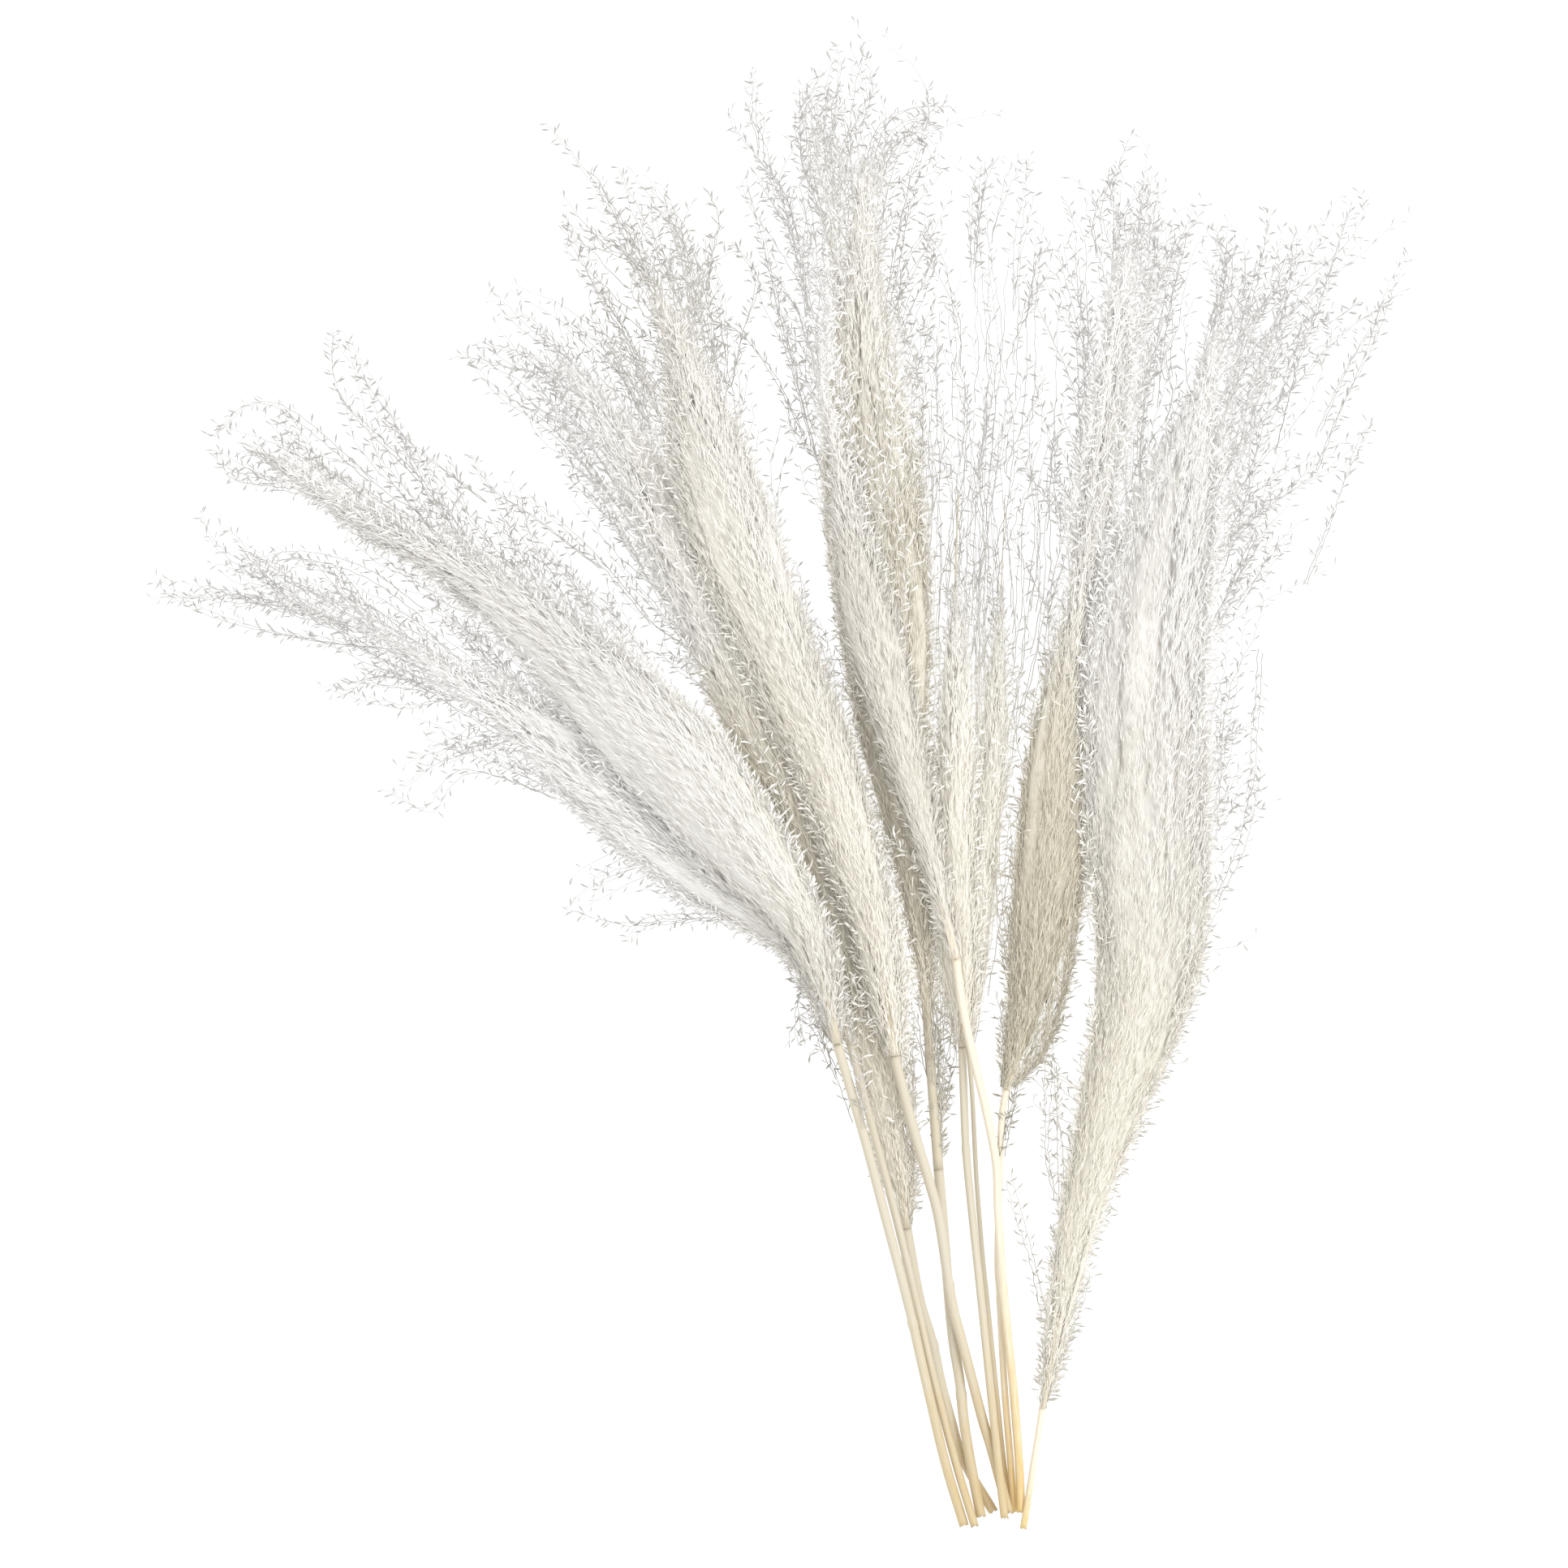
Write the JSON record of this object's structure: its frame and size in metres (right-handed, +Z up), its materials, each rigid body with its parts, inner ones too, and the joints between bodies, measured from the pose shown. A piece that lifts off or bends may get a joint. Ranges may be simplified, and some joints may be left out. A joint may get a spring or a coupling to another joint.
{
  "type": "bunch of reeds",
  "caption": "Loose bunch of dried plume reeds lying flat: bare straw stems crossing at their cut ends and fanning out into long feathery cream plumes.",
  "frame": {"origin": "on the surface that the bunch lies on, under the middle of its outline", "axes": "+Y up the bunch from the cut ends to the plume tips, +X across it to the right as seen from above, +Z up from the surface"},
  "size_m": [0.5927, 0.7004, 0.0438],
  "materials": {
    "straw": "smooth dry straw, fine lengthwise grain",
    "golden_straw": "smooth dry straw, golden, fine lengthwise grain",
    "white_plume": "bleached dry seed hair, matt and translucent",
    "cream_plume": "cream dry seed hair, matt and translucent",
    "beige_plume": "beige dry seed hair, matt and translucent"
  },
  "bodies": {
    "root": {"stem_01": "straw", "stem_02": "straw", "stem_03": "straw", "stem_04": "straw", "stem_05": "straw", "stem_06": "straw", "stem_07": "straw", "stem_08": "golden_straw", "stem_09": "golden_straw", "stem_10": "golden_straw", "plume_01": "white_plume", "plume_02": "white_plume", "plume_03": "beige_plume", "plume_04": "beige_plume", "plume_05": "cream_plume", "plume_06": "cream_plume", "plume_07": "white_plume", "plume_08": "white_plume", "plume_09": "beige_plume", "plume_10": "white_plume"}
  },
  "joints": []
}
